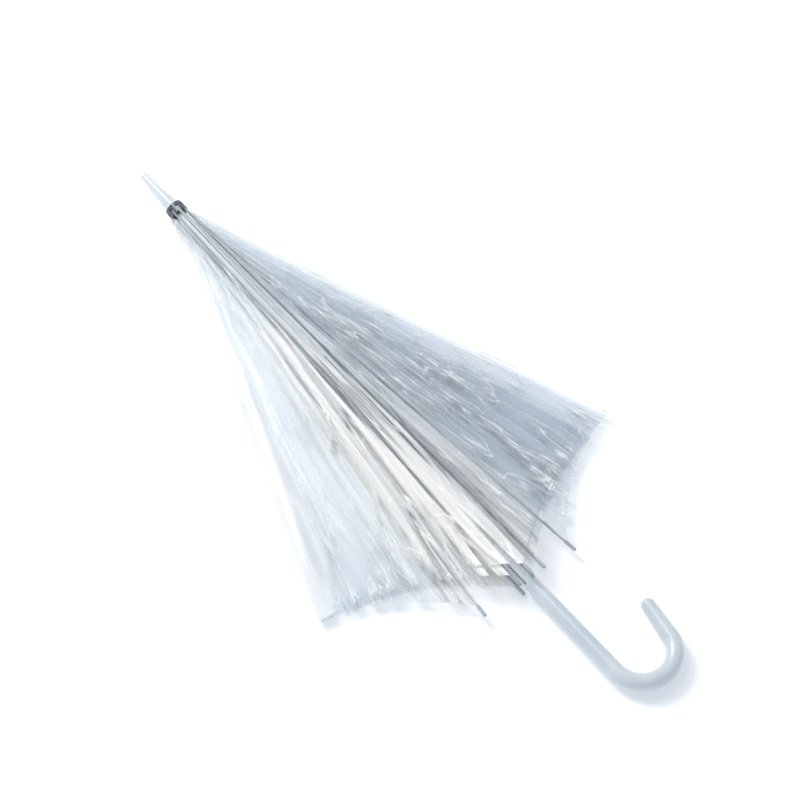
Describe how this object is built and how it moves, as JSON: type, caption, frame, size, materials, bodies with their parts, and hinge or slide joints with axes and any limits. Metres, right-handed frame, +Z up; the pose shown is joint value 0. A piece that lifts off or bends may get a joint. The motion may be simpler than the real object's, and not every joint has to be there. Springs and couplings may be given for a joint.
{
  "type": "stick umbrella",
  "caption": "Closed stick umbrella with a clear film canopy lying in two folded flaps, thin metal ribs, a conical ferrule and a white J handle.",
  "frame": {"origin": "on the floor under the middle of the umbrella's box", "axes": "+X along the shaft from the ferrule to the handle, +Y the side that the hook curls to, +Z up"},
  "size_m": [0.8378, 0.3958, 0.0366],
  "materials": {
    "white_plastic": "glossy moulded",
    "white_nylon": "satin moulded",
    "dark_plastic": "moulded",
    "grey_plastic": "moulded",
    "white_painted_steel": "gloss paint",
    "steel": "galvanised",
    "clear_film": "clear soft film"
  },
  "bodies": {
    "root": {"shaft": "white_painted_steel", "ferrule": "white_plastic", "film_washer": "white_plastic", "crown": "dark_plastic", "crown_wire": "steel", "handle": "white_plastic"},
    "runner": {"runner": "white_nylon", "runner_wire": "steel"},
    "upper_catch": {"upper_catch": "steel"},
    "lower_catch": {"lower_catch": "steel"},
    "rib_1": {"rib_1": "steel", "rib_tip_1": "grey_plastic", "rib_clasp_1": "steel"},
    "stretcher_1": {"stretcher_1": "steel"},
    "gore_1_a": {"gore_1_a": "clear_film"},
    "gore_1_b": {"gore_1_b": "clear_film"},
    "rib_2": {"rib_2": "steel", "rib_tip_2": "grey_plastic", "rib_clasp_2": "steel"},
    "stretcher_2": {"stretcher_2": "steel"},
    "gore_2_a": {"gore_2_a": "clear_film"},
    "gore_2_b": {"gore_2_b": "clear_film"},
    "rib_3": {"rib_3": "steel", "rib_tip_3": "grey_plastic", "rib_clasp_3": "steel"},
    "stretcher_3": {"stretcher_3": "steel"},
    "gore_3_a": {"gore_3_a": "clear_film"},
    "gore_3_b": {"gore_3_b": "clear_film"},
    "rib_4": {"rib_4": "steel", "rib_tip_4": "grey_plastic", "rib_clasp_4": "steel"},
    "stretcher_4": {"stretcher_4": "steel"},
    "gore_4_a": {"gore_4_a": "clear_film"},
    "gore_4_b": {"gore_4_b": "clear_film"},
    "rib_5": {"rib_5": "steel", "rib_tip_5": "grey_plastic", "rib_clasp_5": "steel"},
    "stretcher_5": {"stretcher_5": "steel"},
    "gore_5_a": {"gore_5_a": "clear_film"},
    "gore_5_b": {"gore_5_b": "clear_film"},
    "rib_6": {"rib_6": "steel", "rib_tip_6": "grey_plastic", "rib_clasp_6": "steel"},
    "stretcher_6": {"stretcher_6": "steel"},
    "gore_6_a": {"gore_6_a": "clear_film"},
    "gore_6_b": {"gore_6_b": "clear_film"},
    "rib_7": {"rib_7": "steel", "rib_tip_7": "grey_plastic", "rib_clasp_7": "steel"},
    "stretcher_7": {"stretcher_7": "steel"},
    "gore_7_a": {"gore_7_a": "clear_film"},
    "gore_7_b": {"gore_7_b": "clear_film"},
    "rib_8": {"rib_8": "steel", "rib_tip_8": "grey_plastic", "rib_clasp_8": "steel"},
    "stretcher_8": {"stretcher_8": "steel"},
    "gore_8_a": {"gore_8_a": "clear_film"},
    "gore_8_b": {"gore_8_b": "clear_film"}
  },
  "joints": [
    {"name": "runner_slide", "type": "slide", "parent": "root", "child": "runner", "axis": [-1, 0, 0], "range_m": [0, 0.202]},
    {"name": "upper_catch_press", "type": "slide", "parent": "root", "child": "upper_catch", "axis": [0, -0.9239, -0.3827], "range_m": [0, 0.0014], "stiffness_N_per_m": 1500, "springref_m": -0.0005},
    {"name": "lower_catch_press", "type": "slide", "parent": "root", "child": "lower_catch", "axis": [0, -0.9239, -0.3827], "range_m": [0, 0.0014], "stiffness_N_per_m": 1500, "springref_m": -0.0005},
    {"name": "rib_1_hinge", "type": "hinge", "parent": "root", "child": "rib_1", "pos_m": [-0.357, 0.0085, 0.0145], "axis": [0, 0, 1], "range_deg": [0, 49.01]},
    {"name": "stretcher_1_hinge", "type": "hinge", "parent": "rib_1", "child": "stretcher_1", "pos_m": [-0.11293, 0.02985, 0.0145], "axis": [0, 0, 1], "range_deg": [-98.01, 0]},
    {"name": "rib_2_hinge", "type": "hinge", "parent": "root", "child": "rib_2", "pos_m": [-0.357, 0.00601, 0.02051], "axis": [0, -0.7071, 0.7071], "range_deg": [0, 52.61]},
    {"name": "stretcher_2_hinge", "type": "hinge", "parent": "rib_2", "child": "stretcher_2", "pos_m": [-0.11207, 0.01024, 0.02474], "axis": [0, -0.7071, 0.7071], "range_deg": [-105.21, 0]},
    {"name": "rib_3_hinge", "type": "hinge", "parent": "root", "child": "rib_3", "pos_m": [-0.357, 0, 0.023], "axis": [0, -1, 0], "range_deg": [0, 52.81]},
    {"name": "stretcher_3_hinge", "type": "hinge", "parent": "rib_3", "child": "stretcher_3", "pos_m": [-0.11205, 0, 0.02813], "axis": [0, -1, 0], "range_deg": [-105.61, 0]},
    {"name": "rib_4_hinge", "type": "hinge", "parent": "root", "child": "rib_4", "pos_m": [-0.357, -0.00601, 0.02051], "axis": [0, -0.7071, -0.7071], "range_deg": [0, 52.61]},
    {"name": "stretcher_4_hinge", "type": "hinge", "parent": "rib_4", "child": "stretcher_4", "pos_m": [-0.11207, -0.01024, 0.02474], "axis": [0, -0.7071, -0.7071], "range_deg": [-105.21, 0]},
    {"name": "rib_5_hinge", "type": "hinge", "parent": "root", "child": "rib_5", "pos_m": [-0.357, -0.0085, 0.0145], "axis": [0, 0, -1], "range_deg": [0, 48.91]},
    {"name": "stretcher_5_hinge", "type": "hinge", "parent": "rib_5", "child": "stretcher_5", "pos_m": [-0.11297, -0.03028, 0.0145], "axis": [0, 0, -1], "range_deg": [-97.81, 0]},
    {"name": "rib_6_hinge", "type": "hinge", "parent": "root", "child": "rib_6", "pos_m": [-0.357, -0.00601, 0.00849], "axis": [0, 0.7071, -0.7071], "range_deg": [0, 53.41]},
    {"name": "stretcher_6_hinge", "type": "hinge", "parent": "rib_6", "child": "stretcher_6", "pos_m": [-0.11201, -0.00782, 0.00668], "axis": [0, 0.7071, -0.7071], "range_deg": [-106.81, 0]},
    {"name": "rib_7_hinge", "type": "hinge", "parent": "root", "child": "rib_7", "pos_m": [-0.357, 0, 0.006], "axis": [0, 1, 0], "range_deg": [0, 53.71]},
    {"name": "stretcher_7_hinge", "type": "hinge", "parent": "rib_7", "child": "stretcher_7", "pos_m": [-0.112, 0, 0.00472], "axis": [0, 1, 0], "range_deg": [-107.41, 0]},
    {"name": "rib_8_hinge", "type": "hinge", "parent": "root", "child": "rib_8", "pos_m": [-0.357, 0.00601, 0.00849], "axis": [0, 0.7071, 0.7071], "range_deg": [0, 53.41]},
    {"name": "stretcher_8_hinge", "type": "hinge", "parent": "rib_8", "child": "stretcher_8", "pos_m": [-0.11201, 0.00782, 0.00668], "axis": [0, 0.7071, 0.7071], "range_deg": [-106.81, 0]},
    {"name": "gore_1_swing", "type": "hinge", "parent": "rib_1", "child": "gore_1_a", "pos_m": [-0.357, 0.0109, 0.0145], "axis": [0.9962, 0.0872, 0], "range_deg": [0, 106.29], "deforming": ["gore_1_a"]},
    {"name": "gore_1_fold", "type": "hinge", "parent": "gore_1_a", "child": "gore_1_b", "pos_m": [-0.357, 0.0093, 0.01835], "axis": [0.9336, 0.3581, -0.0125], "range_deg": [-177.66, 0], "deforming": ["gore_1_b"]},
    {"name": "gore_2_swing", "type": "hinge", "parent": "rib_2", "child": "gore_2_a", "pos_m": [-0.357, 0.00771, 0.02221], "axis": [0.9997, 0.0173, 0.0173], "range_deg": [0, 153.98], "deforming": ["gore_2_a"]},
    {"name": "gore_2_fold", "type": "hinge", "parent": "gore_2_a", "child": "gore_2_b", "pos_m": [-0.357, 0.00385, 0.0238], "axis": [0.9486, 0.3164, -0.0113], "range_deg": [-179.64, 0], "deforming": ["gore_2_b"]},
    {"name": "gore_3_swing", "type": "hinge", "parent": "rib_3", "child": "gore_3_a", "pos_m": [-0.357, 0, 0.0254], "axis": [0.9998, 0, 0.0209], "range_deg": [0, 8.06], "deforming": ["gore_3_a"]},
    {"name": "gore_3_fold", "type": "hinge", "parent": "gore_3_a", "child": "gore_3_b", "pos_m": [-0.357, -0.00385, 0.0238], "axis": [0.9486, -0.3164, -0.0113], "range_deg": [-179.64, 0], "deforming": ["gore_3_b"]},
    {"name": "gore_4_swing", "type": "hinge", "parent": "rib_4", "child": "gore_4_a", "pos_m": [-0.357, -0.00771, 0.02221], "axis": [0.9997, -0.0173, 0.0173], "range_deg": [0, 53.91], "deforming": ["gore_4_a"]},
    {"name": "gore_4_fold", "type": "hinge", "parent": "gore_4_a", "child": "gore_4_b", "pos_m": [-0.357, -0.0093, 0.01835], "axis": [0.9333, -0.3589, -0.0125], "range_deg": [-177.68, 0], "deforming": ["gore_4_b"]},
    {"name": "gore_5_swing", "type": "hinge", "parent": "rib_5", "child": "gore_5_a", "pos_m": [-0.357, -0.0109, 0.0145], "axis": [0.996, -0.0889, 0], "range_deg": [0, 101.92], "deforming": ["gore_5_a"]},
    {"name": "gore_5_fold", "type": "hinge", "parent": "gore_5_a", "child": "gore_5_b", "pos_m": [-0.357, -0.0093, 0.01065], "axis": [0.9348, -0.355, -0.0084], "range_deg": [-178.38, 0], "deforming": ["gore_5_b"]},
    {"name": "gore_6_swing", "type": "hinge", "parent": "rib_6", "child": "gore_6_a", "pos_m": [-0.357, -0.00771, 0.00679], "axis": [0.9999, -0.0074, -0.0074], "range_deg": [0, 148.89], "deforming": ["gore_6_a"]},
    {"name": "gore_6_fold", "type": "hinge", "parent": "gore_6_a", "child": "gore_6_b", "pos_m": [-0.357, -0.00385, 0.0052], "axis": [0.9497, -0.3131, -0.006], "range_deg": [0, 179.61], "deforming": ["gore_6_b"]},
    {"name": "gore_7_swing", "type": "hinge", "parent": "rib_7", "child": "gore_7_a", "pos_m": [-0.357, 0, 0.0036], "axis": [1, 0, -0.0052], "range_deg": [0, 13.88], "deforming": ["gore_7_a"]},
    {"name": "gore_7_fold", "type": "hinge", "parent": "gore_7_a", "child": "gore_7_b", "pos_m": [-0.357, 0.00385, 0.0052], "axis": [0.9497, 0.3131, -0.006], "range_deg": [0, 179.61], "deforming": ["gore_7_b"]},
    {"name": "gore_8_swing", "type": "hinge", "parent": "rib_8", "child": "gore_8_a", "pos_m": [-0.357, 0.00771, 0.00679], "axis": [0.9999, 0.0074, -0.0074], "range_deg": [0, 58.93], "deforming": ["gore_8_a"]},
    {"name": "gore_8_fold", "type": "hinge", "parent": "gore_8_a", "child": "gore_8_b", "pos_m": [-0.357, 0.0093, 0.01065], "axis": [0.9351, 0.3542, -0.0083], "range_deg": [-178.38, 0], "deforming": ["gore_8_b"]}
  ],
  "couplings": [
    {"joint": "rib_1_hinge", "follows": "runner_slide", "rad_per_m": 4.2337},
    {"joint": "stretcher_1_hinge", "follows": "runner_slide", "rad_per_m": -8.4674},
    {"joint": "rib_2_hinge", "follows": "runner_slide", "rad_per_m": 4.5448},
    {"joint": "stretcher_2_hinge", "follows": "runner_slide", "rad_per_m": -9.0895},
    {"joint": "rib_3_hinge", "follows": "runner_slide", "rad_per_m": 4.562},
    {"joint": "stretcher_3_hinge", "follows": "runner_slide", "rad_per_m": -9.1241},
    {"joint": "rib_4_hinge", "follows": "runner_slide", "rad_per_m": 4.5448},
    {"joint": "stretcher_4_hinge", "follows": "runner_slide", "rad_per_m": -9.0895},
    {"joint": "rib_5_hinge", "follows": "runner_slide", "rad_per_m": 4.2251},
    {"joint": "stretcher_5_hinge", "follows": "runner_slide", "rad_per_m": -8.4502},
    {"joint": "rib_6_hinge", "follows": "runner_slide", "rad_per_m": 4.6139},
    {"joint": "stretcher_6_hinge", "follows": "runner_slide", "rad_per_m": -9.2278},
    {"joint": "rib_7_hinge", "follows": "runner_slide", "rad_per_m": 4.6398},
    {"joint": "stretcher_7_hinge", "follows": "runner_slide", "rad_per_m": -9.2796},
    {"joint": "rib_8_hinge", "follows": "runner_slide", "rad_per_m": 4.6139},
    {"joint": "stretcher_8_hinge", "follows": "runner_slide", "rad_per_m": -9.2278},
    {"joint": "gore_1_swing", "follows": "runner_slide", "rad_per_m": 9.1832},
    {"joint": "gore_1_fold", "follows": "runner_slide", "rad_per_m": -15.349},
    {"joint": "gore_2_swing", "follows": "runner_slide", "rad_per_m": 13.303},
    {"joint": "gore_2_fold", "follows": "runner_slide", "rad_per_m": -15.52},
    {"joint": "gore_3_swing", "follows": "runner_slide", "rad_per_m": 0.69588},
    {"joint": "gore_3_fold", "follows": "runner_slide", "rad_per_m": -15.52},
    {"joint": "gore_4_swing", "follows": "runner_slide", "rad_per_m": 4.6567},
    {"joint": "gore_4_fold", "follows": "runner_slide", "rad_per_m": -15.351},
    {"joint": "gore_5_swing", "follows": "runner_slide", "rad_per_m": 8.8054},
    {"joint": "gore_5_fold", "follows": "runner_slide", "rad_per_m": -15.411},
    {"joint": "gore_6_swing", "follows": "runner_slide", "rad_per_m": 12.863},
    {"joint": "gore_6_fold", "follows": "runner_slide", "rad_per_m": 15.518},
    {"joint": "gore_7_swing", "follows": "runner_slide", "rad_per_m": 1.1987},
    {"joint": "gore_7_fold", "follows": "runner_slide", "rad_per_m": 15.518},
    {"joint": "gore_8_swing", "follows": "runner_slide", "rad_per_m": 5.0905},
    {"joint": "gore_8_fold", "follows": "runner_slide", "rad_per_m": -15.412}
  ]
}
